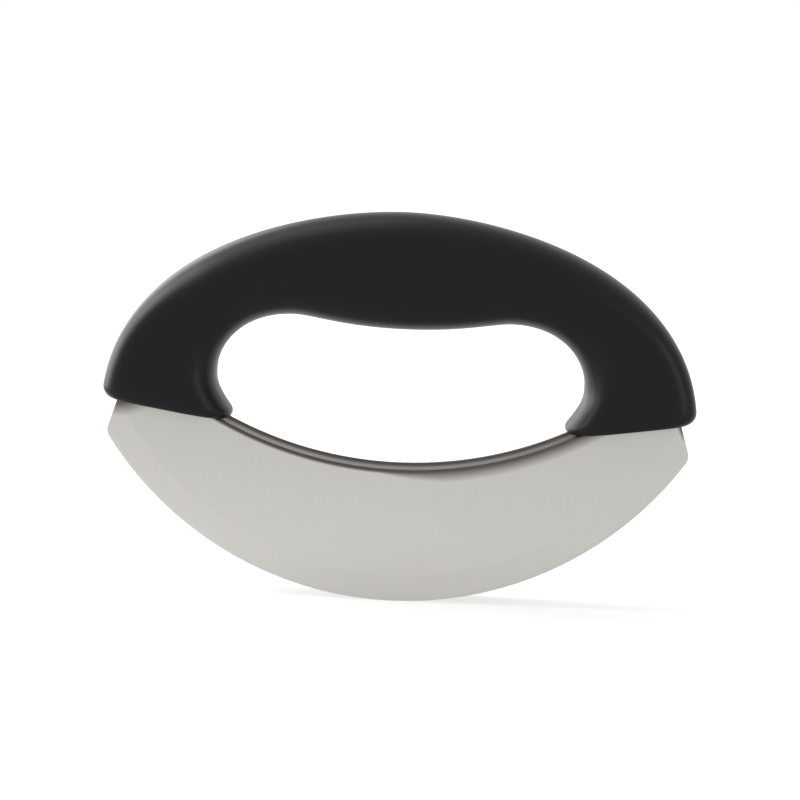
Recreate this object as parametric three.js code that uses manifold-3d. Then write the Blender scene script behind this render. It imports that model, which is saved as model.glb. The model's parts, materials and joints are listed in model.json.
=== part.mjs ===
// Double mezzaluna: two crescent chopping blades held side by side under one arched handle.
// Millimetres. X runs along the blades, Y across them and Z up. The origin lies on the chopping
// board, under the middle of the two cutting edges.

import * as THREE from "three";
import { mergeVertices } from "three/addons/utils/BufferGeometryUtils.js";
import Module from "manifold-3d";

// Fit between a moulded or drilled piece and what it holds
const CLEARANCE = 0.3;

// Blades
const BLADE_SPACING = 16; // between the blades' middle planes
const BLADE_THICKNESS = 2;
const BLADE_HEIGHT = 40.7; // edge to spine, at the middle
const SPINE_RADIUS = 119.6;
const EDGE_RISE = 48.3; // tips above the lowest point of the edge
const TIP_SETBACK = 1.5; // tips behind the heels of the handle
const TIP_RADIUS = 4;
const END_LEAN = THREE.MathUtils.degToRad(17.6); // end edges lean out towards the tips
const BEVEL_HEIGHT = 8;
const EDGE_BEVEL_HEIGHT = 1.2; // the fine bevel that is honed
const EDGE_BEVEL_THICKNESS = 0.7;
const EDGE_THICKNESS = 0.2;

// Hand opening
const OPENING_WIDTH = 113;
const OPENING_RISE = 18.15; // widest level to the finger hollows
const HOLLOW_SPACING = 66.5; // between the two finger hollows
const BELLY_DROP = 3.15; // the grip swells down between the hollows
const ANKLE_HEIGHT = 14.9; // toe of the foot to the widest level
const BELLY_REACH = 18.9; // reaches are the lengths of the curves' end tangents
const HOLLOW_INNER_REACH = 5.3;
const HOLLOW_OUTER_REACH = 16.2;
const OPENING_UPPER_REACH = 7.5;
const OPENING_LOWER_REACH = 3;
const TOE_REACH = 8.6;
const TOE_LEAN = THREE.MathUtils.degToRad(38);

// Handle
const GRIP_THICKNESS = 35.8; // belly to crown
const GRIP_DEPTH = 28;
const LEG_WIDTH = 34.1; // widest level of the opening to the heel
const CROWN_REACH = 29;
const HEEL_REACH = 43.5;
const HEEL_LEAN = THREE.MathUtils.degToRad(7.2);
const SKIN_THICKNESS = 2.5;
const GRIP_SQUARENESS = 2.4; // superellipse exponent of the section: 2 is an ellipse
const TOE_SQUARENESS = 3;
const HEEL_SQUARENESS = 5.5;
const SQUARING_STARTS = 0.6; // share of the way from crown to foot

// Feet
const FOOT_SLOPE = THREE.MathUtils.degToRad(8.6);
const FOOT_MARGIN = 6; // foot beyond the outer face of each blade
const TOE_OVERHANG = 5.3; // toe inside the widest level of the opening
const TOE_COVER = 2.85; // toe to where the spine runs into the foot
const TOE_RADIUS = 1.8;
const HEEL_RADIUS = 3.8;
const FOOT_EDGE_RADIUS = 1.6;

// Tangs, rivets and spacers
const TANG_HEIGHT = 22; // above the foot
const TANG_ROOT = 4; // overlap with the crescent below the foot
const TANG_CORNER_RADIUS = 5;
const RIVET_PITCH = 9;
const RIVET_EDGE = 4; // rivet centre to the side of the tang
const RIVET_HEIGHT = 13; // above the foot
const SHANK_DIAMETER = 4;
const HEAD_DIAMETER = 7;
const HEAD_HEIGHT = 1.4;
const HEAD_RIM = 0.6; // straight rim under the dome of the head
const SPACER_DIAMETER = 7;

// Facets
const EDGE_SEGMENTS = 120; // round the full circle of the cutting edge
const SPINE_SEGMENTS = 24; // along half a spine
const CORNER_SEGMENTS = 5;
const HALF_STATIONS = 20; // sections from crown to foot
const FOOT_STATIONS = 4; // sections round the lower edge of a foot
const SECTION_POINTS = 24;
const RIVET_SEGMENTS = 16;
const DOME_SEGMENTS = 2;

// What follows from the dimensions
const openX = OPENING_WIDTH / 2;
const heelX = openX + LEG_WIDTH;
const toeX = openX - TOE_OVERHANG;
const tipX = heelX - TIP_SETBACK;
const edgeRadius = (tipX ** 2 + EDGE_RISE ** 2) / (2 * EDGE_RISE);
const footDepth = BLADE_SPACING + BLADE_THICKNESS + 2 * FOOT_MARGIN;
const tangWidth = RIVET_PITCH + 2 * RIVET_EDGE;
const tangX = (openX + heelX) / 2; // in the middle of the leg
const spineCentre = new THREE.Vector2(0, BLADE_HEIGHT + SPINE_RADIUS);
const edgeCentre = new THREE.Vector2(0, edgeRadius);
const below = -BLADE_HEIGHT; // level under the board that cutting shapes run down to

const wasm = await Module();
wasm.setup();

const material = {
  steel: { color: 0xc3c1bc, roughness: 0.35, metalness: 1 },
  rivetSteel: { color: 0xb4b4b2, roughness: 0.4, metalness: 1 },
  softSkin: { color: 0x232325, roughness: 0.65, metalness: 0 },
  stiffCore: { color: 0x303033, roughness: 0.5, metalness: 0 },
};

// The under side of a foot, raised square to itself, as a height over x
function footHeight(x, raised = 0) {
  const meetX = toeX + TOE_COVER;
  const meetZ = spineCentre.y - Math.sqrt(SPINE_RADIUS ** 2 - meetX ** 2);
  return meetZ + (x - meetX) * Math.tan(FOOT_SLOPE) + raised / Math.cos(FOOT_SLOPE);
}

function polar(centre, radius, angle) {
  return new THREE.Vector2(centre.x + radius * Math.cos(angle), centre.y + radius * Math.sin(angle));
}

// Closed geometry to a solid that can be joined and cut
function solid(geometry) {
  const bare = geometry.clone();
  bare.deleteAttribute("normal");
  bare.deleteAttribute("uv");
  const merged = mergeVertices(bare);
  const triangles = [];
  for (let i = 0; i < merged.index.count; i += 3) {
    const corners = [0, 1, 2].map((k) => merged.index.getX(i + k));
    if (new Set(corners).size === 3) triangles.push(...corners);
  }
  return new wasm.Manifold(new wasm.Mesh({
    numProp: 3,
    vertProperties: new Float32Array(merged.attributes.position.array),
    triVerts: new Uint32Array(triangles),
  }));
}

function named(name, body, look) {
  const mesh = body.getMesh();
  const geometry = new THREE.BufferGeometry();
  geometry.setAttribute("position", new THREE.BufferAttribute(mesh.vertProperties, 3));
  geometry.setIndex(new THREE.BufferAttribute(mesh.triVerts, 1));
  geometry.computeVertexNormals();
  const part = new THREE.Mesh(geometry, new THREE.MeshStandardMaterial({ ...look, flatShading: true }));
  part.name = name;
  return part;
}

// A flat plate upright in the XZ plane, from its outline
function plate(points, thickness, middleY) {
  const options = { depth: thickness, bevelEnabled: false };
  const geometry = new THREE.ExtrudeGeometry(new THREE.Shape(points), options);
  geometry.rotateX(Math.PI / 2);
  geometry.translate(0, middleY + thickness / 2, 0);
  return solid(geometry);
}

function mirrored(points) {
  return points.map((p) => new THREE.Vector2(-p.x, p.y)).reverse();
}

// A turned piece with its axis along Y, from pairs of radius and y
function turned(profile, segments, x = 0, z = 0) {
  const geometry = new THREE.LatheGeometry(profile.map(([r, y]) => new THREE.Vector2(r, y)), segments);
  geometry.translate(x, 0, z);
  return solid(geometry);
}

function bore(diameter, length, x, z) {
  const r = diameter / 2;
  const y = length / 2;
  return turned([[0, -y], [r, -y], [r, y], [0, y]], RIVET_SEGMENTS, x, z);
}

// Crescent below the shoulders that bear on the core: spine arc, shoulder, leaning end edge and
// rounded tip; grown by a clearance it is the slot that the crescent runs into. The round cutting
// edge is ground afterwards.
function crescent(shoulderDepth, grow, thickness, middleY) {
  const shoulder = (x) => footHeight(x, shoulderDepth);
  const spine = SPINE_RADIUS - grow;
  const fall = shoulder(0) - spineCentre.y;
  const along = -fall * Math.sin(FOOT_SLOPE) + Math.sqrt(spine ** 2 - (fall * Math.cos(FOOT_SLOPE)) ** 2);
  const spineEndX = along * Math.cos(FOOT_SLOPE);
  const spineEnd = Math.atan2(shoulder(spineEndX) - spineCentre.y, spineEndX);

  const outward = polar(new THREE.Vector2(), 1, END_LEAN);
  const onEnd = new THREE.Vector2(tipX, EDGE_RISE).addScaledVector(outward, grow);
  const climb = (shoulder(onEnd.x) - onEnd.y) /
    (Math.cos(END_LEAN) + Math.tan(FOOT_SLOPE) * Math.sin(END_LEAN));
  const shoulderEnd = new THREE.Vector2(-Math.sin(END_LEAN), Math.cos(END_LEAN))
    .multiplyScalar(climb).add(onEnd);

  const reach = onEnd.clone().sub(edgeCentre).dot(outward) - TIP_RADIUS;
  const tipAngle = END_LEAN - Math.acos(reach / (edgeRadius - TIP_RADIUS));
  const tipCentre = polar(edgeCentre, edgeRadius - TIP_RADIUS, tipAngle);
  const pastTip = polar(edgeCentre, edgeRadius + TIP_RADIUS, tipAngle);

  const half = new THREE.Path();
  half.absarc(spineCentre.x, spineCentre.y, spine, -Math.PI / 2, spineEnd, false);
  const outline = half.getPoints(SPINE_SEGMENTS);
  const tip = new THREE.Path();
  tip.absarc(tipCentre.x, tipCentre.y, TIP_RADIUS, END_LEAN, tipAngle, true);
  outline.push(shoulderEnd, ...tip.getPoints(CORNER_SEGMENTS), pastTip);
  outline.push(new THREE.Vector2(pastTip.x, below));
  return plate([...outline, ...mirrored(outline.slice(1))], thickness, middleY);
}

// Tang that rises from the crescent into the core, with rounded upper corners
function tang(side, grow, thickness, middleY) {
  const halfWidth = tangWidth / 2 + grow;
  const bottom = footHeight(tangX) - TANG_ROOT;
  const top = footHeight(tangX) + TANG_HEIGHT + grow;
  const corner = TANG_CORNER_RADIUS + grow;
  const rounding = new THREE.Path();
  rounding.absarc(halfWidth - corner, top - corner, corner, 0, Math.PI / 2, false);
  const right = [new THREE.Vector2(halfWidth, bottom), ...rounding.getPoints(CORNER_SEGMENTS)];
  const points = [...right, ...mirrored(right)];
  return plate(points.map((p) => new THREE.Vector2(p.x + side * tangX, p.y)), thickness, middleY);
}

// Grinding the edge: a disc with a bevelled rim, round the axis of the cutting edge
function groundDisc(middleY) {
  const half = BLADE_THICKNESS / 2;
  const fine = EDGE_BEVEL_THICKNESS / 2;
  const edge = EDGE_THICKNESS / 2;
  const face = [[0, half], [edgeRadius - BEVEL_HEIGHT, half], [edgeRadius - EDGE_BEVEL_HEIGHT, fine],
    [edgeRadius, edge]];
  const back = face.map(([r, y]) => [r, -y]).reverse();
  const profile = [...face, ...back].reverse();
  return turned(profile, EDGE_SEGMENTS, edgeCentre.x, edgeCentre.y).translate([0, middleY, 0]);
}

const rivetSeats = [
  { name: "left_outer", x: -tangX - RIVET_PITCH / 2 },
  { name: "left_inner", x: -tangX + RIVET_PITCH / 2 },
  { name: "right_inner", x: tangX - RIVET_PITCH / 2 },
  { name: "right_outer", x: tangX + RIVET_PITCH / 2 },
];
const rivetZ = footHeight(tangX) + RIVET_HEIGHT;
const holeDiameter = SHANK_DIAMETER + 2 * CLEARANCE;
const bladeGap = BLADE_SPACING - BLADE_THICKNESS;
const gripLength = BLADE_SPACING + BLADE_THICKNESS; // between the two heads of a rivet

function blade(middleY) {
  const outline = crescent(SKIN_THICKNESS, 0, 2 * BLADE_THICKNESS, middleY);
  let body = groundDisc(middleY).intersect(outline);
  for (const side of [-1, 1]) body = body.add(tang(side, 0, BLADE_THICKNESS, middleY));
  for (const seat of rivetSeats) body = body.subtract(bore(holeDiameter, 2 * footDepth, seat.x, rivetZ));
  return body;
}

function bladeSlots() {
  const thickness = BLADE_THICKNESS + 2 * CLEARANCE;
  const depth = SKIN_THICKNESS + CLEARANCE / 2;
  return [-1, 1].flatMap((face) => {
    const middleY = face * BLADE_SPACING / 2;
    const tangs = [-1, 1].map((side) => tang(side, CLEARANCE, thickness, middleY));
    return [crescent(depth, CLEARANCE, thickness, middleY), ...tangs];
  });
}

// Rivet: shank with two domed heads that bear on the outer faces of the tangs
function rivet(seat) {
  const r = HEAD_DIAMETER / 2;
  const seatY = gripLength / 2;
  const dome = HEAD_HEIGHT - HEAD_RIM;
  const half = [[SHANK_DIAMETER / 2, seatY], [r, seatY]];
  for (let i = 0; i <= DOME_SEGMENTS; i++) {
    const angle = (i / DOME_SEGMENTS) * (Math.PI / 2);
    half.push([i === DOME_SEGMENTS ? 0 : r * Math.cos(angle), seatY + HEAD_RIM + dome * Math.sin(angle)]);
  }
  const other = half.map(([radius, y]) => [radius, -y]).reverse();
  return turned([...other, ...half], RIVET_SEGMENTS, seat.x, rivetZ);
}

function spacer(seat) {
  const inner = holeDiameter / 2;
  const outer = SPACER_DIAMETER / 2;
  const y = bladeGap / 2;
  const wall = [[inner, -y], [outer, -y], [outer, y], [inner, y], [inner, -y]];
  return turned(wall, RIVET_SEGMENTS, seat.x, rivetZ);
}

// Handle outlines, crown to foot on the right: outside over the shoulder to the heel, and inside
// along the belly, round the hand opening and down to the toe
const heelCentre = new THREE.Vector2(heelX - HEEL_RADIUS, footHeight(heelX - HEEL_RADIUS, HEEL_RADIUS));
const toeCentre = new THREE.Vector2(toeX + TOE_RADIUS, footHeight(toeX + TOE_RADIUS, TOE_RADIUS));
const openZ = footHeight(toeX) + ANKLE_HEIGHT;
const hollowZ = openZ + OPENING_RISE;
const bellyZ = hollowZ - BELLY_DROP;
const crownZ = bellyZ + GRIP_THICKNESS;

function bend(start, startReach, end, endReach) {
  return new THREE.CubicBezierCurve(start, start.clone().add(startReach), end.clone().sub(endReach), end);
}

function heading(length, angle) {
  return polar(new THREE.Vector2(), length, angle);
}

const down = -Math.PI / 2;
const crown = new THREE.Vector2(0, crownZ);
const belly = new THREE.Vector2(0, bellyZ);
const hollow = new THREE.Vector2(HOLLOW_SPACING / 2, hollowZ);
const widest = new THREE.Vector2(openX, openZ);
const heelStart = polar(heelCentre, HEEL_RADIUS, HEEL_LEAN);
const toeStart = polar(toeCentre, TOE_RADIUS, Math.PI - TOE_LEAN);
const outside = bend(crown, heading(CROWN_REACH, 0), heelStart, heading(HEEL_REACH, down + HEEL_LEAN));
const inside = new THREE.CurvePath();
inside.add(bend(belly, heading(BELLY_REACH, 0), hollow, heading(HOLLOW_INNER_REACH, 0)));
inside.add(bend(hollow, heading(HOLLOW_OUTER_REACH, 0), widest, heading(OPENING_UPPER_REACH, down)));
inside.add(bend(widest, heading(OPENING_LOWER_REACH, down), toeStart, heading(TOE_REACH, down - TOE_LEAN)));

// Sections from crown to foot: where they start inside and end outside, and their shape
function legStations() {
  const stations = [];
  for (let i = 0; i <= HALF_STATIONS; i++) {
    const t = i / HALF_STATIONS;
    const blend = THREE.MathUtils.smoothstep(t, SQUARING_STARTS, 1);
    stations.push({
      inner: inside.getPoint(t),
      outer: outside.getPointAt(t),
      halfDepth: THREE.MathUtils.lerp(GRIP_DEPTH, footDepth, blend) / 2,
      innerSquareness: THREE.MathUtils.lerp(GRIP_SQUARENESS, TOE_SQUARENESS, blend),
      outerSquareness: THREE.MathUtils.lerp(GRIP_SQUARENESS, HEEL_SQUARENESS, blend),
    });
  }
  return stations;
}

// Round the lower edge of the foot to its flat under side
function roundedFootStations() {
  const stations = [];
  for (let i = 1; i <= FOOT_STATIONS; i++) {
    const t = i / FOOT_STATIONS;
    const under = down + FOOT_SLOPE;
    stations.push({
      inner: polar(toeCentre, TOE_RADIUS, THREE.MathUtils.lerp(Math.PI - TOE_LEAN, under + 2 * Math.PI, t)),
      outer: polar(heelCentre, HEEL_RADIUS, THREE.MathUtils.lerp(HEEL_LEAN, under, t)),
      halfDepth: footDepth / 2 - FOOT_EDGE_RADIUS * (1 - Math.cos(t * Math.PI / 2)),
      innerSquareness: TOE_SQUARENESS,
      outerSquareness: HEEL_SQUARENESS,
    });
  }
  return stations;
}

// Straight on past the under side, for the stretches that a flat cut ends
function straightFootStation() {
  const run = TOE_RADIUS + HEEL_RADIUS;
  return {
    inner: toeStart.clone().add(heading(run, down - TOE_LEAN)),
    outer: heelStart.clone().add(heading(run, down + HEEL_LEAN)),
    halfDepth: footDepth / 2,
    innerSquareness: TOE_SQUARENESS,
    outerSquareness: HEEL_SQUARENESS,
  };
}

// One section, half a superellipse towards the opening and half outwards, inset all round by a wall
function sectionRing({ inner, outer, halfDepth, innerSquareness, outerSquareness }, inset) {
  const middle = inner.clone().add(outer).multiplyScalar(0.5);
  const across = outer.clone().sub(inner);
  const halfWidth = across.length() / 2 - inset;
  across.normalize();
  const power = (value, squareness) => Math.sign(value) * Math.abs(value) ** (2 / squareness);
  const ring = [];
  for (let k = 0; k < SECTION_POINTS; k++) {
    const angle = (k / SECTION_POINTS) * 2 * Math.PI;
    const squareness = Math.cos(angle) < 0 ? innerSquareness : outerSquareness;
    const offset = halfWidth * power(Math.cos(angle), squareness);
    const y = (halfDepth - inset) * power(Math.sin(angle), squareness);
    ring.push(new THREE.Vector3(middle.x + across.x * offset, y, middle.y + across.y * offset));
  }
  return ring;
}

// Closed skin over a row of rings, with a flat cap on each end
function loft(rings) {
  const count = rings[0].length;
  const last = rings.length - 1;
  const vertices = rings.flat();
  for (const end of [rings[0], rings[last]]) {
    const centre = end.reduce((sum, p) => sum.add(p), new THREE.Vector3()).divideScalar(count);
    vertices.push(centre);
  }
  const index = [];
  for (let k = 0; k < count; k++) {
    const next = (k + 1) % count;
    for (let i = 0; i < last; i++) {
      const near = i * count;
      const far = near + count;
      index.push(near + k, far + k, far + next, near + k, far + next, near + next);
    }
    index.push(vertices.length - 2, k, next);
    index.push(vertices.length - 1, last * count + next, last * count + k);
  }
  const geometry = new THREE.BufferGeometry().setFromPoints(vertices);
  geometry.setIndex(index);
  return solid(geometry);
}

function mirroredStation(station) {
  const flip = (p) => new THREE.Vector2(-p.x, p.y);
  return { ...station, inner: flip(station.inner), outer: flip(station.outer) };
}

function arch(footStations, inset) {
  const right = [...legStations(), ...footStations];
  const left = right.slice(1).reverse().map(mirroredStation);
  return loft([...left, ...right].map((station) => sectionRing(station, inset)));
}

// Everything under the two feet, up to a level raised into them
function underFeet(raised) {
  const right = [heelX + LEG_WIDTH, 0].map((x) => new THREE.Vector2(x, footHeight(x, raised)));
  const outline = [new THREE.Vector2(right[0].x, below), ...right];
  return plate([...outline, ...mirrored(outline.slice(0, -1))], 2 * footDepth, 0);
}

function innerArch(inset) {
  return arch([straightFootStation()], inset).subtract(underFeet(inset));
}

function gripCover() {
  let body = arch(roundedFootStations(), 0).subtract(innerArch(SKIN_THICKNESS));
  for (const slot of bladeSlots()) body = body.subtract(slot);
  return body;
}

function handleCore() {
  let body = innerArch(SKIN_THICKNESS + CLEARANCE);
  for (const slot of bladeSlots()) body = body.subtract(slot);
  for (const seat of rivetSeats) {
    const headLength = gripLength + 2 * (HEAD_HEIGHT + CLEARANCE);
    body = body.subtract(bore(HEAD_DIAMETER + 2 * CLEARANCE, headLength, seat.x, rivetZ));
    body = body.subtract(bore(SPACER_DIAMETER + 2 * CLEARANCE, gripLength, seat.x, rivetZ));
  }
  return body;
}

const mezzaluna = new THREE.Group();
mezzaluna.add(named("front_blade", blade(-BLADE_SPACING / 2), material.steel));
mezzaluna.add(named("rear_blade", blade(BLADE_SPACING / 2), material.steel));
mezzaluna.add(named("handle_core", handleCore(), material.stiffCore));
mezzaluna.add(named("grip_cover", gripCover(), material.softSkin));
for (const seat of rivetSeats) {
  mezzaluna.add(named(`${seat.name}_spacer`, spacer(seat), material.rivetSteel));
  mezzaluna.add(named(`${seat.name}_rivet`, rivet(seat), material.rivetSteel));
}

export default mezzaluna;
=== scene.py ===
import json
import math

import bmesh
import bpy
from mathutils import Matrix, Vector
from mathutils.geometry import interpolate_bezier

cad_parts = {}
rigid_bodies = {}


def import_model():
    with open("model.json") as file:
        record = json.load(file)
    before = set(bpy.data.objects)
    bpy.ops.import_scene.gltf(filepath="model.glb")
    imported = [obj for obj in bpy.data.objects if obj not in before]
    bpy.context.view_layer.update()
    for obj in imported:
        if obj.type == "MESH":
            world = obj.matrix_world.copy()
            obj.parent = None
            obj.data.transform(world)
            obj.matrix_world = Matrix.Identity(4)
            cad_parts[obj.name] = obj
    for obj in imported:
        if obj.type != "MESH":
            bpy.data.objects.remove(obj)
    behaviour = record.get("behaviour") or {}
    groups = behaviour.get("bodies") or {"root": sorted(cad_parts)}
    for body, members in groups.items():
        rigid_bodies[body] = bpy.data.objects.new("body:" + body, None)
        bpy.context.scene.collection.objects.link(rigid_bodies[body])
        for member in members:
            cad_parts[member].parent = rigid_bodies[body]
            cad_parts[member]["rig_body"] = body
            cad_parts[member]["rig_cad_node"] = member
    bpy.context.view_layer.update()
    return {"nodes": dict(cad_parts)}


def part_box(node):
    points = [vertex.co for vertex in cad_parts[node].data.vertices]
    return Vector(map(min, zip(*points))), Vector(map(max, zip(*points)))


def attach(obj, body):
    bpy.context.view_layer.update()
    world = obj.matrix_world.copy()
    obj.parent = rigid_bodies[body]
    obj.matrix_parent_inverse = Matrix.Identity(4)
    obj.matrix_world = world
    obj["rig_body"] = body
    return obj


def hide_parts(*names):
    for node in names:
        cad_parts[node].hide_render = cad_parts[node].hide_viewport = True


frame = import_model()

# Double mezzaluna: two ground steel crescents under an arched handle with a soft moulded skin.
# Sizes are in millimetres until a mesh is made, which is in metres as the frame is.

MM = 0.001

# Camera, at the photograph's viewing angle
VIEW_ELEVATION = math.radians(6.85)
VIEW_ROLL = math.radians(2.77)
VIEW_DISTANCE = 850
VIEW_AIM = Vector((0.05, 0, 61.15))
FOCAL_LENGTH = 124.45
SENSOR_WIDTH = 36

# Blades
BLADE_HEIGHT = 40.7
SPINE_RADIUS = 119.6
EDGE_RISE = 48.3
TIP_SETBACK = 1.5
END_LEAN = math.radians(17.6)
BEVEL_HEIGHT = 8
EDGE_BEVEL_HEIGHT = 1.2
SPINE_ROUNDING = 0.9

# Hand opening
OPENING_WIDTH = 113
OPENING_RISE = 18.15
HOLLOW_SPACING = 66.5
BELLY_DROP = 3.15
ANKLE_HEIGHT = 14.9
BELLY_REACH = 18.9
HOLLOW_INNER_REACH = 5.3
HOLLOW_OUTER_REACH = 16.2
OPENING_UPPER_REACH = 7.5
OPENING_LOWER_REACH = 3
TOE_REACH = 8.6
TOE_LEAN = math.radians(38)

# Handle
GRIP_THICKNESS = 35.8
GRIP_DEPTH = 28
LEG_WIDTH = 34.1
CROWN_REACH = 29
HEEL_REACH = 43.5
HEEL_LEAN = math.radians(7.2)
SKIN_THICKNESS = 2.5
GRIP_SQUARENESS = 2.4
TOE_SQUARENESS = 3
HEEL_SQUARENESS = 5.5
SQUARING_STARTS = 0.6

# Feet
FOOT_SLOPE = math.radians(8.6)
TOE_OVERHANG = 5.3
TOE_COVER = 2.85
TOE_RADIUS = 1.8
HEEL_RADIUS = 3.8
FOOT_EDGE_RADIUS = 1.6
SLOT_CLEARANCE = 0.3
SOLE_MARGIN = 1.5

# Witness line where the two halves of the mould met
WITNESS_WIDTH = 0.4
WITNESS_DEPTH = 0.06
WITNESS_LIP = 0.2  # share of the width that slopes down at either side
WITNESS_REACH = 0.51  # half the width and a little over, to find its faces

# Mesh
LEG_SECTIONS = 44
FOOT_SECTIONS = 8
CORNER_POINTS = 12
CURVE_STEPS = 200
ROUNDING_STEPS = 4
SMOOTH_ANGLE = math.radians(35)
FLAT_ANGLE = math.radians(0.01)
WELD_DISTANCE = 0.001
SEAM_DISTANCE = 0.01
SAME_DEPTH = 0.01
LINE_TOLERANCE = 0.05
FLAT_NORMAL = 0.9999
EDGEWISE_NORMAL = 0.1

# Finishes
NOISE_LOW = 0.3  # most of a noise lies between these
NOISE_HIGH = 0.7

# Studio, in metres, with light levels where 1 is white
FILL_LEVEL = 0.6
WHITE_LEVEL = 1.0
FLOOR_RADIUS = 5
FLOOR_CORNERS = 128
FADE_STARTS = 0.15
FADE_ENDS = 0.9
NEAR_LIFT = 0.68
FAR_LIFT = 0.9
SOFTBOXES = (  # name, place, size and glow
    ("left_softbox", (-0.8, 0.1, 0.2), (0.6, 0.42), 7.2),
    ("shoulder_softbox", (-0.68, 0.05, 0.6), (0.6, 0.34), 8.5),
    ("back_softbox", (-0.62, 0.66, 0.34), (0.9, 0.7), 2.2),
    ("right_softbox", (0.75, -0.6, 0.3), (0.15, 0.6), 5.0),
    ("top_softbox", (-0.3, 0.1, 0.95), (0.6, 0.6), 1.8),
)

DOWN = -math.pi / 2
open_x = OPENING_WIDTH / 2
heel_x = open_x + LEG_WIDTH
toe_x = open_x - TOE_OVERHANG
tip_x = heel_x - TIP_SETBACK
edge_radius = (tip_x ** 2 + EDGE_RISE ** 2) / (2 * EDGE_RISE)
spine_centre = Vector((0, 0, BLADE_HEIGHT + SPINE_RADIUS))
foot_depth = (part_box("grip_cover")[1].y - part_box("grip_cover")[0].y) / MM


# Modelling by hand

def start_piece(name):
    """A new mesh with nothing in it yet, in edit mode and alone selected."""
    bpy.ops.object.select_all(action="DESELECT")
    bpy.ops.mesh.primitive_plane_add(size=1)
    piece = bpy.context.object
    piece.name = name
    piece.data.name = name
    bpy.ops.object.mode_set(mode="EDIT")
    bpy.ops.mesh.select_mode(type="VERT")
    bpy.ops.mesh.delete(type="VERT")
    return piece


def copy_of(node, name):
    """A copy of a CAD node with its loose triangles merged, in edit mode and alone selected."""
    piece = frame["nodes"][node].copy()
    piece.data = piece.data.copy()
    piece.name = name
    piece.data.name = name
    piece.parent = None
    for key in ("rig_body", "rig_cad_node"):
        del piece[key]
    bpy.context.scene.collection.objects.link(piece)
    bpy.ops.object.select_all(action="DESELECT")
    piece.select_set(True)
    bpy.context.view_layer.objects.active = piece
    bpy.ops.object.mode_set(mode="EDIT")
    bpy.ops.mesh.select_all(action="SELECT")
    bpy.ops.mesh.remove_doubles(threshold=WELD_DISTANCE * MM)
    return piece


def choose(piece, kind, test):
    """In edit mode, selects only those vertices, edges or faces that a test picks."""
    bpy.ops.mesh.select_mode(type={"verts": "VERT", "edges": "EDGE", "faces": "FACE"}[kind])
    bpy.ops.mesh.select_all(action="DESELECT")
    mesh = bmesh.from_edit_mesh(piece.data)
    for part in getattr(mesh, kind):
        if test(part):
            part.select_set(True)
    mesh.select_flush_mode()
    bmesh.update_edit_mesh(piece.data)


def drop_from_selection(piece, test):
    """In edit mode, leaves out of the selection the vertices that a test picks."""
    mesh = bmesh.from_edit_mesh(piece.data)
    for vertex in mesh.verts:
        if vertex.select and test(vertex):
            vertex.select_set(False)
    mesh.select_flush_mode()
    bmesh.update_edit_mesh(piece.data)


def finish_with(piece, kind, **settings):
    """Adds a modifier to a piece and applies it."""
    bpy.ops.object.select_all(action="DESELECT")
    piece.select_set(True)
    bpy.context.view_layer.objects.active = piece
    modifier = piece.modifiers.new(kind.title(), kind)
    for name, value in settings.items():
        setattr(modifier, name, value)
    bpy.ops.object.modifier_apply(modifier=modifier.name)


def cut_away(piece, cutter):
    """Cuts another shape out of a piece and removes the cutter."""
    finish_with(piece, "BOOLEAN", operation="DIFFERENCE", solver="EXACT", object=cutter)
    bpy.data.objects.remove(cutter)


def point(x, z):
    return Vector((x, 0, z))


def heading(length, angle):
    return point(length * math.cos(angle), length * math.sin(angle))


# The handle's outlines

def foot_height(x, raised=0):
    """Under side of a foot, raised square to itself, as a height over x."""
    meet_x = toe_x + TOE_COVER
    meet_z = spine_centre.z - math.sqrt(SPINE_RADIUS ** 2 - meet_x ** 2)
    return meet_z + (x - meet_x) * math.tan(FOOT_SLOPE) + raised / math.cos(FOOT_SLOPE)


def bend(start, start_reach, end, end_reach):
    return interpolate_bezier(start, start + start_reach, end - end_reach, end, CURVE_STEPS)


def evenly(line, count):
    """Points at even steps along the length of a line of points."""
    steps = [(b - a).length for a, b in zip(line, line[1:])]
    spacing = sum(steps) / count
    points = [line[0]]
    travelled = 0
    for a, b, step in zip(line, line[1:], steps):
        while step and travelled + step >= spacing * len(points) and len(points) < count:
            points.append(a.lerp(b, (spacing * len(points) - travelled) / step))
        travelled += step
    return points + [line[-1]]


heel_centre = point(heel_x - HEEL_RADIUS, foot_height(heel_x - HEEL_RADIUS, HEEL_RADIUS))
toe_centre = point(toe_x + TOE_RADIUS, foot_height(toe_x + TOE_RADIUS, TOE_RADIUS))
heel_start = heel_centre + heading(HEEL_RADIUS, HEEL_LEAN)
toe_start = toe_centre + heading(TOE_RADIUS, math.pi - TOE_LEAN)
widest = point(open_x, foot_height(toe_x) + ANKLE_HEIGHT)
hollow = point(HOLLOW_SPACING / 2, widest.z + OPENING_RISE)
belly = point(0, hollow.z - BELLY_DROP)
crown = point(0, belly.z + GRIP_THICKNESS)
outside = bend(crown, heading(CROWN_REACH, 0), heel_start, heading(HEEL_REACH, DOWN + HEEL_LEAN))
inside = (
    bend(belly, heading(BELLY_REACH, 0), hollow, heading(HOLLOW_INNER_REACH, 0))
    + bend(hollow, heading(HOLLOW_OUTER_REACH, 0), widest, heading(OPENING_UPPER_REACH, DOWN))
    + bend(widest, heading(OPENING_LOWER_REACH, DOWN), toe_start, heading(TOE_REACH, DOWN - TOE_LEAN))
)


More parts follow.
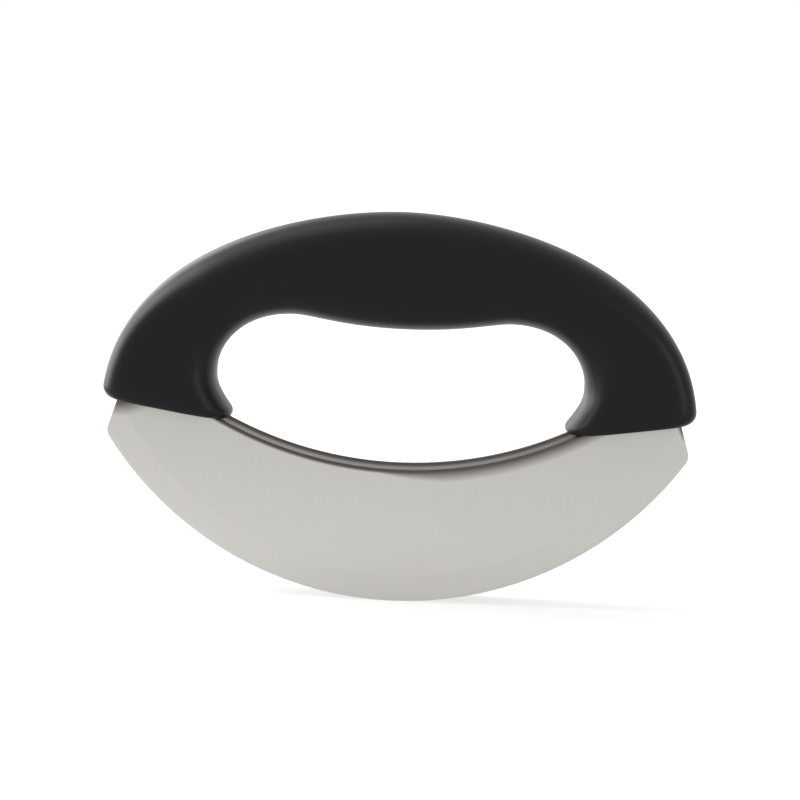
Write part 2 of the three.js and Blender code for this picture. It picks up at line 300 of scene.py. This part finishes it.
def leg_sections():
    """Sections from crown to foot: inner end, outer end, depth and squareness at either end."""
    sections = []
    lines = zip(evenly(inside, LEG_SECTIONS), evenly(outside, LEG_SECTIONS))
    for i, (inner, outer) in enumerate(lines):
        way = max(i / LEG_SECTIONS - SQUARING_STARTS, 0) / (1 - SQUARING_STARTS)
        blend = way * way * (3 - 2 * way)
        depth = GRIP_DEPTH + blend * (foot_depth - GRIP_DEPTH)
        inner_squareness = GRIP_SQUARENESS + blend * (TOE_SQUARENESS - GRIP_SQUARENESS)
        outer_squareness = GRIP_SQUARENESS + blend * (HEEL_SQUARENESS - GRIP_SQUARENESS)
        sections.append((inner, outer, depth, inner_squareness, outer_squareness))
    return sections


def rounded_foot_sections():
    """Sections round the lower edge of the foot to its flat sole."""
    sections = []
    under = DOWN + FOOT_SLOPE
    for i in range(1, FOOT_SECTIONS + 1):
        way = i / FOOT_SECTIONS
        toe_angle = math.pi - TOE_LEAN + way * (under + math.pi + TOE_LEAN)
        heel_angle = HEEL_LEAN + way * (under - HEEL_LEAN)
        inner = toe_centre + heading(TOE_RADIUS, toe_angle)
        outer = heel_centre + heading(HEEL_RADIUS, heel_angle)
        depth = foot_depth - 2 * FOOT_EDGE_RADIUS * (1 - math.cos(way * math.pi / 2))
        sections.append((inner, outer, depth, TOE_SQUARENESS, HEEL_SQUARENESS))
    return sections


def straight_foot_section():
    """One section straight on past the sole, for the hollow that a flat floor ends."""
    run = TOE_RADIUS + HEEL_RADIUS
    inner = toe_start + heading(run, DOWN - TOE_LEAN)
    outer = heel_start + heading(run, DOWN + HEEL_LEAN)
    return (inner, outer, foot_depth, TOE_SQUARENESS, HEEL_SQUARENESS)


# The handle's skin

def section_ring(piece, section, inset):
    """A square with its corners rounded off as far as the witness line, drawn out to the section's size."""
    inner, outer, depth, inner_squareness, outer_squareness = section
    across = outer - inner
    width = across.length - 2 * inset
    middle = (inner + outer) / 2
    reach = (1 - WITNESS_WIDTH / depth) / 2
    bpy.ops.mesh.primitive_plane_add(size=1)
    for side, squareness in ((-1, inner_squareness), (1, outer_squareness)):
        bpy.ops.mesh.select_linked()
        drop_from_selection(piece, lambda v: v.co.x * side < 0)
        bpy.ops.mesh.bevel(affect="VERTICES", offset_type="OFFSET", offset=reach, clamp_overlap=False,
                           segments=CORNER_POINTS, profile=2 ** (-2 / squareness))
    bpy.ops.mesh.select_linked()
    size = (width * MM, (depth - 2 * inset) * MM, 1)
    bpy.ops.transform.resize(value=size, center_override=(0, 0, 0))
    turn = math.atan2(across.z, across.x)
    bpy.ops.transform.rotate(value=turn, orient_axis="Y", center_override=(0, 0, 0))
    bpy.ops.transform.translate(value=middle * MM)


def half_arch(name, sections, inset=0):
    """Skin over a row of sections, closed at the foot and open at the crown."""
    piece = start_piece(name)
    for section in sections:
        section_ring(piece, section, inset)
    bpy.ops.mesh.select_all(action="SELECT")
    bpy.ops.mesh.delete(type="ONLY_FACE")
    bpy.ops.mesh.select_all(action="SELECT")
    bpy.ops.mesh.bridge_edge_loops()
    # The ring at the crown lies in the middle plane and stays open
    choose(piece, "edges", lambda e: e.is_boundary and e.verts[0].co.x > GRIP_DEPTH * MM)
    bpy.ops.mesh.edge_face_add()
    return piece


def whole_arch(piece):
    """The other half by mirror, with all faces pointing outwards."""
    bpy.ops.object.mode_set(mode="OBJECT")
    finish_with(piece, "MIRROR", merge_threshold=SEAM_DISTANCE * MM)
    bpy.ops.object.mode_set(mode="EDIT")
    bpy.ops.mesh.select_all(action="SELECT")
    bpy.ops.mesh.normals_make_consistent(inside=False)


def core_hollow():
    """The room for the stiff core inside the skin, with a flat floor over each sole."""
    piece = half_arch("core_hollow", leg_sections() + [straight_foot_section()], SKIN_THICKNESS)
    bpy.ops.mesh.select_all(action="SELECT")
    floor_point = point(heel_x, foot_height(heel_x, SKIN_THICKNESS)) * MM
    floor_normal = (-math.sin(FOOT_SLOPE), 0, math.cos(FOOT_SLOPE))
    bpy.ops.mesh.bisect(plane_co=floor_point, plane_no=floor_normal, use_fill=True, clear_inner=True)
    whole_arch(piece)
    bpy.ops.object.mode_set(mode="OBJECT")
    return piece


def blade_slot(side, node):
    """The slot in a sole for one end of a blade, its inner end sloped as the spine that runs into it."""
    low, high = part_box(node)
    start_x = toe_x + TOE_COVER - SLOT_CLEARANCE
    end_z = foot_height(tip_x)
    end_x = tip_x - (end_z - EDGE_RISE) * math.tan(END_LEAN) + SLOT_CLEARANCE
    middle_x = (start_x + end_x) / 2
    length = (end_x - start_x) / math.cos(FOOT_SLOPE)
    width = (high.y - low.y) / MM + 2 * SLOT_CLEARANCE
    middle_y = (low.y + high.y) / 2 / MM
    middle = Vector((side * middle_x, middle_y, foot_height(middle_x, SKIN_THICKNESS / 2)))
    piece = start_piece("blade_slot")
    bpy.ops.mesh.primitive_cube_add(size=1)
    size = Vector((length, width, 2 * SKIN_THICKNESS)) * MM
    bpy.ops.transform.resize(value=size, center_override=(0, 0, 0))
    climb = math.tan(math.asin(start_x / SPINE_RADIUS) - FOOT_SLOPE)
    # Lower and upper side of the cutter, with their heights over the sole
    for level, height in ((-1, -SKIN_THICKNESS / 2), (1, 3 * SKIN_THICKNESS / 2)):
        choose(piece, "verts", lambda v: v.co.x * side < 0 and v.co.z * level > 0)
        bpy.ops.transform.translate(value=(side * height / climb * MM, 0, 0))
    bpy.ops.mesh.select_all(action="SELECT")
    bpy.ops.transform.rotate(value=side * FOOT_SLOPE, orient_axis="Y", center_override=(0, 0, 0))
    bpy.ops.transform.translate(value=middle * MM)
    bpy.ops.object.mode_set(mode="OBJECT")
    return piece


def in_witness_line(face):
    """Whether a face is in the narrow strip along the middle of the handle's edges."""
    on_seam = all(abs(v.co.y) < WITNESS_REACH * WITNESS_WIDTH * MM for v in face.verts)
    return on_seam and abs(face.normal.y) < EDGEWISE_NORMAL and len(face.verts) == 4


def soft_skin():
    """The soft moulded skin of the handle, hollow round its core and slotted for the blades."""
    piece = half_arch("soft_skin", leg_sections() + rounded_foot_sections())
    bpy.ops.mesh.inset(thickness=SOLE_MARGIN * MM)
    whole_arch(piece)
    choose(piece, "faces", in_witness_line)
    bpy.ops.mesh.inset(thickness=WITNESS_LIP * WITNESS_WIDTH * MM, depth=-WITNESS_DEPTH * MM)
    bpy.ops.object.mode_set(mode="OBJECT")
    finish_with(piece, "SUBSURF", levels=1, render_levels=1)
    cut_away(piece, core_hollow())
    for node in ("front_blade", "rear_blade"):
        for side in (-1, 1):
            cut_away(piece, blade_slot(side, node))
    bpy.ops.object.shade_smooth_by_angle(angle=SMOOTH_ANGLE)
    return piece


# The blades

def ground_blade(name, node):
    """A blade with its spine rounded over, as a grinder breaks the edges."""
    piece = copy_of(node, name)
    bpy.ops.mesh.dissolve_limited(angle_limit=FLAT_ANGLE)

    def on_spine(edge):
        along = abs(edge.verts[0].co.y - edge.verts[1].co.y) < SAME_DEPTH * MM
        offsets = [math.hypot(v.co.x, v.co.z - spine_centre.z * MM) - SPINE_RADIUS * MM for v in edge.verts]
        return along and all(abs(offset) < LINE_TOLERANCE * MM for offset in offsets)

    choose(piece, "edges", on_spine)
    bpy.ops.mesh.bevel(offset=SPINE_ROUNDING * MM, segments=ROUNDING_STEPS, profile=0.5, affect="EDGES")

    def on_grinding_line(edge):
        radii = [edge_radius - math.hypot(v.co.x / MM, v.co.z / MM - edge_radius) for v in edge.verts]
        lines = (BEVEL_HEIGHT, EDGE_BEVEL_HEIGHT, 0)
        return any(all(abs(r - line) < LINE_TOLERANCE for r in radii) for line in lines)

    def round_flat_side(edge):
        flat = [abs(face.normal.y) > FLAT_NORMAL for face in edge.link_faces]
        return any(flat) and not all(flat)

    for marked in (on_grinding_line, round_flat_side):
        choose(piece, "edges", marked)
        bpy.ops.mesh.mark_sharp()
    bpy.ops.object.mode_set(mode="OBJECT")
    bpy.ops.object.shade_smooth_by_angle(angle=SMOOTH_ANGLE, keep_sharp_edges=True)
    finish_with(piece, "WEIGHTED_NORMAL", mode="FACE_AREA", keep_sharp=True)
    return piece


# Finishes

def colour(code):
    """An sRGB hex colour as linear red, green, blue and alpha."""
    parts = [int(code[i:i + 2], 16) / 255 for i in (1, 3, 5)]
    return [p / 12.92 if p <= 0.04045 else ((p + 0.055) / 1.055) ** 2.4 for p in parts] + [1]


def add_node(tree, kind, inputs, **settings):
    """A shader node with its settings, and a value or a link for each input that is named."""
    node = tree.nodes.new(kind)
    for name, value in settings.items():
        setattr(node, name, value)
    for name, value in inputs.items():
        if isinstance(value, bpy.types.NodeSocket):
            tree.links.new(value, node.inputs[name])
        else:
            node.inputs[name].default_value = value
    return node


def new_finish(name):
    """An empty material and its node tree."""
    material = bpy.data.materials.new(name)
    material.use_nodes = True
    material.node_tree.nodes.clear()
    return material, material.node_tree


def surface(tree, inputs):
    """Ends a material in one shader with these inputs."""
    shader = add_node(tree, "ShaderNodeBsdfPrincipled", inputs)
    add_node(tree, "ShaderNodeOutputMaterial", {"Surface": shader.outputs["BSDF"]})


def satin_stainless_steel():
    """Stainless blade steel, satin ground on a belt: a soft sheen with fine upright grinding lines, with
    painted light that makes it brighter low down towards the edge and painted shade higher up towards the
    handle. Painted shade darkens the spine and the corners under the heels, and painted light lifts the
    inner faces between the blades."""
    material, tree = new_finish("satin_stainless_steel")
    line_spacing = 0.35  # coarser than a real belt leaves, so that the lines show
    line_length = 25
    line_depth = 0.001
    line_shade = 0.5
    # How far painted light brightens the steel at the lower height
    edge_painted_light = 0.75
    cloud_size = 30
    # Painted shade in a band along the spine: full to this depth below it, then fading out by the depths
    # that follow, from left to right
    full_painted_shade = 0.75
    painted_shade_ends_left = 1.45
    painted_shade_ends_right = 4.2
    # Heights between which painted light low down gives way to painted shade higher up
    painted_light_below = 20
    painted_shade_above = 50
    # Painted light on the inner faces, within this distance of the middle, against the shade in the gap
    # between the blades
    gap_light_reach = 7.2
    # Along the blades less six times the depth, so that the painted shade band along the spine widens on
    # the front blade alone
    band_direction = (1, -6, 0)
    widens_from = 49
    widens_to = 69
    # Middle in x and z, half length, half height and lean of each corner of painted shade under a heel
    corners = ((-86.5, 59.5, 12, 6.5, 0), (86, 58.5, 1.5, 6, END_LEAN))
    corner_fades_from = 0.4
    corner_shade = 0.95
    place = add_node(tree, "ShaderNodeTexCoord", {}).outputs["Object"]
    stretch = (1 / (line_spacing * MM), 1 / (line_spacing * MM), 1 / (line_length * MM))
    drawn = add_node(tree, "ShaderNodeMapping", {"Vector": place, "Scale": stretch})
    lines = add_node(tree, "ShaderNodeTexNoise", {
        "Vector": drawn.outputs["Vector"], "Scale": 1, "Detail": 3})
    clouds = add_node(tree, "ShaderNodeTexNoise", {
        "Vector": place, "Scale": 1 / (cloud_size * MM), "Detail": 2})
    upright = add_node(tree, "ShaderNodeMapping", {
        "Vector": place, "Location": -spine_centre * MM, "Scale": (1, 0, 1)})
    radius = add_node(tree, "ShaderNodeVectorMath", {0: upright.outputs["Vector"]}, operation="LENGTH")
    split = add_node(tree, "ShaderNodeSeparateXYZ", {"Vector": place})
    # Painted light and shade by height: brighter low down towards the edge, darker higher up towards the
    # handle
    belt = add_node(tree, "ShaderNodeMapRange", {
        "Value": split.outputs["Z"], "From Min": painted_light_below * MM, "From Max": painted_shade_above * MM,
        "To Min": edge_painted_light, "To Max": 0.0})
    # The grinding lines' own tone, with the painted light and shade added
    shade = add_node(tree, "ShaderNodeMath", {
        0: lines.outputs["Fac"], 1: line_shade, 2: belt.outputs["Result"]}, operation="MULTIPLY_ADD")
    ground = add_node(tree, "ShaderNodeMix", {
        "Factor": shade.outputs["Value"], "A": colour("#B6B4AF"), "B": colour("#C0BEBA")}, data_type="RGBA")
    # Painted light that lifts the inner faces of the blades, in the gap between them where shade falls
    off_middle = add_node(tree, "ShaderNodeMath", {0: split.outputs["Y"]}, operation="ABSOLUTE")
    painted_gap_light_mask = add_node(tree, "ShaderNodeMath", {
        0: off_middle.outputs["Value"], 1: gap_light_reach * MM}, operation="LESS_THAN")
    faces = add_node(tree, "ShaderNodeMix", {
        "Factor": painted_gap_light_mask.outputs["Value"], "A": ground.outputs["Result"], "B": colour("#D2D0CC")},
        data_type="RGBA")

    # Painted shade in a band along the spine, wider on the front blade towards the right
    across = add_node(tree, "ShaderNodeVectorMath", {
        0: place, 1: band_direction}, operation="DOT_PRODUCT")
    painted_shade_ends = add_node(tree, "ShaderNodeMapRange", {
        "Value": across.outputs["Value"], "From Min": widens_from * MM, "From Max": widens_to * MM,
        "To Min": (SPINE_RADIUS + painted_shade_ends_left) * MM, "To Max": (SPINE_RADIUS + painted_shade_ends_right) * MM})
    skin = add_node(tree, "ShaderNodeMapRange", {
        "Value": radius.outputs["Value"], "From Min": (SPINE_RADIUS + full_painted_shade) * MM,
        "From Max": painted_shade_ends.outputs["Result"], "To Min": 1.0, "To Max": 0.0}).outputs["Result"]
    # Painted shade in the corners under the heels
    for x, z, length, height, lean in corners:
        centred = add_node(tree, "ShaderNodeMapping", {
            "Vector": place, "Location": (x * MM, 0, z * MM), "Rotation": (0, -lean, 0),
            "Scale": (length * MM, 1, height * MM)}, vector_type="TEXTURE")
        away = add_node(tree, "ShaderNodeVectorMath", {0: centred.outputs["Vector"]}, operation="LENGTH")
        corner = add_node(tree, "ShaderNodeMapRange", {
            "Value": away.outputs["Value"], "From Min": corner_fades_from, "From Max": 1.0,
            "To Min": corner_shade, "To Max": 0.0})
        skin = add_node(tree, "ShaderNodeMath", {
            0: skin, 1: corner.outputs["Result"]}, operation="MAXIMUM").outputs["Value"]
    # The steel darkened wherever painted shade lies, along the spine and under the heels
    tint = add_node(tree, "ShaderNodeMix", {
        "Factor": skin, "A": faces.outputs["Result"], "B": colour("#595552")}, data_type="RGBA")
    gloss = add_node(tree, "ShaderNodeMapRange", {
        "Value": clouds.outputs["Fac"], "From Min": NOISE_LOW, "From Max": NOISE_HIGH,
        "To Min": 0.42, "To Max": 0.48})
    relief = add_node(tree, "ShaderNodeBump", {
        "Height": lines.outputs["Fac"], "Distance": line_depth * MM, "Strength": 0.5})
    surface(tree, {
        "Base Color": tint.outputs["Result"], "Metallic": 1.0, "Roughness": gloss.outputs["Result"],
        "Normal": relief.outputs["Normal"]})
    return material


def moulded_black_elastomer():
    """Thermoplastic elastomer moulded in a spark-eroded tool: black and matte, with a fine even grain."""
    material, tree = new_finish("moulded_black_elastomer")
    grain_size = 0.45  # coarser than a real tool leaves, so that the grain shows
    grain_depth = 0.03
    cloud_size = 14
    place = add_node(tree, "ShaderNodeTexCoord", {}).outputs["Object"]
    grain = add_node(tree, "ShaderNodeTexNoise", {
        "Vector": place, "Scale": 1 / (grain_size * MM), "Detail": 2, "Roughness": 0.6})
    clouds = add_node(tree, "ShaderNodeTexNoise", {
        "Vector": place, "Scale": 1 / (cloud_size * MM), "Detail": 3})
    tint = add_node(tree, "ShaderNodeMix", {
        "Factor": clouds.outputs["Fac"], "A": colour("#0C0C0D"), "B": colour("#111112")}, data_type="RGBA")
    gloss = add_node(tree, "ShaderNodeMapRange", {
        "Value": grain.outputs["Fac"], "From Min": NOISE_LOW, "From Max": NOISE_HIGH,
        "To Min": 0.32, "To Max": 0.4})
    relief = add_node(tree, "ShaderNodeBump", {
        "Height": grain.outputs["Fac"], "Distance": grain_depth * MM, "Strength": 0.6})
    surface(tree, {
        "Base Color": tint.outputs["Result"], "Roughness": gloss.outputs["Result"], "IOR": 1.5,
        "Specular IOR Level": 0.17, "Normal": relief.outputs["Normal"]})
    return material


def moulded_polypropylene():
    """Black polypropylene as it leaves the mould: a dull sheen with faint flow clouds."""
    material, tree = new_finish("moulded_polypropylene")
    flow_size = 6
    place = add_node(tree, "ShaderNodeTexCoord", {}).outputs["Object"]
    flow = add_node(tree, "ShaderNodeTexNoise", {
        "Vector": place, "Scale": 1 / (flow_size * MM), "Detail": 2})
    tint = add_node(tree, "ShaderNodeMix", {
        "Factor": flow.outputs["Fac"], "A": colour("#2B2B2D"), "B": colour("#333336")}, data_type="RGBA")
    gloss = add_node(tree, "ShaderNodeMapRange", {
        "Value": flow.outputs["Fac"], "From Min": NOISE_LOW, "From Max": NOISE_HIGH,
        "To Min": 0.38, "To Max": 0.48})
    surface(tree, {
        "Base Color": tint.outputs["Result"], "Roughness": gloss.outputs["Result"], "IOR": 1.49})
    return material


def headed_stainless_steel():
    """Stainless rivet wire and tube, tumbled after heading: an even dull shine with small dents."""
    material, tree = new_finish("headed_stainless_steel")
    dent_size = 0.8
    dent_depth = 0.02
    place = add_node(tree, "ShaderNodeTexCoord", {}).outputs["Object"]
    dents = add_node(tree, "ShaderNodeTexNoise", {
        "Vector": place, "Scale": 1 / (dent_size * MM), "Detail": 2})
    gloss = add_node(tree, "ShaderNodeMapRange", {
        "Value": dents.outputs["Fac"], "From Min": NOISE_LOW, "From Max": NOISE_HIGH,
        "To Min": 0.3, "To Max": 0.42})
    relief = add_node(tree, "ShaderNodeBump", {
        "Height": dents.outputs["Fac"], "Distance": dent_depth * MM, "Strength": 0.5})
    surface(tree, {
        "Base Color": colour("#BDBDBB"), "Metallic": 1.0, "Roughness": gloss.outputs["Result"],
        "Normal": relief.outputs["Normal"]})
    return material


def dress(piece, material):
    piece.data.materials.clear()
    piece.data.materials.append(material)


# Studio

def shown_rays(tree):
    """1 for rays that show the background: from the camera, in gloss and through glass."""
    path = add_node(tree, "ShaderNodeLightPath", {})
    either = add_node(tree, "ShaderNodeMath", {
        0: path.outputs["Is Camera Ray"], 1: path.outputs["Is Glossy Ray"]}, operation="MAXIMUM")
    shown = add_node(tree, "ShaderNodeMath", {
        0: either.outputs["Value"], 1: path.outputs["Is Transmission Ray"]}, operation="MAXIMUM")
    return shown.outputs["Value"]


def white_surround():
    """White where it is seen, and a softer fill for what it lights."""
    world = bpy.data.worlds.new("white_surround")
    world.use_nodes = True
    tree = world.node_tree
    tree.nodes.clear()
    level = add_node(tree, "ShaderNodeMapRange", {
        "Value": shown_rays(tree), "To Min": FILL_LEVEL, "To Max": WHITE_LEVEL})
    glow = add_node(tree, "ShaderNodeBackground", {
        "Color": (1, 1, 1, 1), "Strength": level.outputs["Result"]})
    add_node(tree, "ShaderNodeOutputWorld", {"Surface": glow.outputs["Background"]})
    bpy.context.scene.world = world


def pale_floor():
    """A round pale floor that fades into the surround and keeps the shadow."""
    bpy.ops.object.select_all(action="DESELECT")
    bpy.ops.mesh.primitive_circle_add(vertices=FLOOR_CORNERS, radius=FLOOR_RADIUS, fill_type="NGON")
    floor = bpy.context.object
    floor.name = "floor"
    material, tree = new_finish("pale_floor")
    place = add_node(tree, "ShaderNodeTexCoord", {}).outputs["Object"]
    distance = add_node(tree, "ShaderNodeVectorMath", {0: place}, operation="LENGTH").outputs["Value"]
    far = add_node(tree, "ShaderNodeMapRange", {
        "Value": distance, "From Min": FADE_STARTS, "From Max": FADE_ENDS,
        "To Min": NEAR_LIFT, "To Max": FAR_LIFT})
    lift = add_node(tree, "ShaderNodeMath", {
        0: far.outputs["Result"], 1: shown_rays(tree)}, operation="MULTIPLY")
    pale = add_node(tree, "ShaderNodeBsdfPrincipled", {
        "Base Color": colour("#A0A09F"), "Roughness": 1.0, "Specular IOR Level": 0.0,
        "Emission Color": (1, 1, 1, 1), "Emission Strength": lift.outputs["Value"]})
    clear = add_node(tree, "ShaderNodeBsdfTransparent", {})
    below = add_node(tree, "ShaderNodeNewGeometry", {}).outputs["Backfacing"]
    both = add_node(tree, "ShaderNodeMixShader", {
        "Fac": below, 1: pale.outputs["BSDF"], 2: clear.outputs["BSDF"]})
    add_node(tree, "ShaderNodeOutputMaterial", {"Surface": both.outputs["Shader"]})
    dress(floor, material)


def softbox(name, place, size, glow):
    """An area lamp of an even glow, where 1 is white, turned to the object."""
    lamp = bpy.data.lights.new(name, "AREA")
    lamp.shape = "RECTANGLE"
    lamp.size, lamp.size_y = size
    lamp.energy = glow * math.pi * size[0] * size[1]
    holder = bpy.data.objects.new(name, lamp)
    holder.location = place
    holder.rotation_euler = (VIEW_AIM * MM - holder.location).to_track_quat("-Z", "Y").to_euler()
    bpy.context.scene.collection.objects.link(holder)


def camera():
    """A camera on the view line, rolled as the photograph is."""
    back = Vector((0, -math.cos(VIEW_ELEVATION), math.sin(VIEW_ELEVATION)))
    lens = bpy.data.cameras.new("camera")
    lens.lens = FOCAL_LENGTH
    lens.sensor_width = SENSOR_WIDTH
    holder = bpy.data.objects.new("camera", lens)
    turn = (-back).to_track_quat("-Z", "Y").to_matrix().to_4x4() @ Matrix.Rotation(VIEW_ROLL, 4, "Z")
    holder.matrix_world = Matrix.Translation((VIEW_AIM + back * VIEW_DISTANCE) * MM) @ turn
    bpy.context.scene.collection.objects.link(holder)
    bpy.context.scene.camera = holder


# Assembly

camera()
steel = satin_stainless_steel()
for blade_name, blade_node in (("ground_front_blade", "front_blade"), ("ground_rear_blade", "rear_blade")):
    blade = ground_blade(blade_name, blade_node)
    dress(blade, steel)
    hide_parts(blade_node)
    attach(blade, "root")

skin = soft_skin()
dress(skin, moulded_black_elastomer())
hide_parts("grip_cover")
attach(skin, "root")

dress(frame["nodes"]["handle_core"], moulded_polypropylene())
rivet_steel = headed_stainless_steel()
for node_name, node in frame["nodes"].items():
    if node_name.endswith(("_rivet", "_spacer")):
        dress(node, rivet_steel)

white_surround()
pale_floor()
for lamp_name, lamp_place, lamp_size, lamp_glow in SOFTBOXES:
    softbox(lamp_name, lamp_place, lamp_size, lamp_glow)
bpy.context.scene.view_settings.view_transform = "Standard"
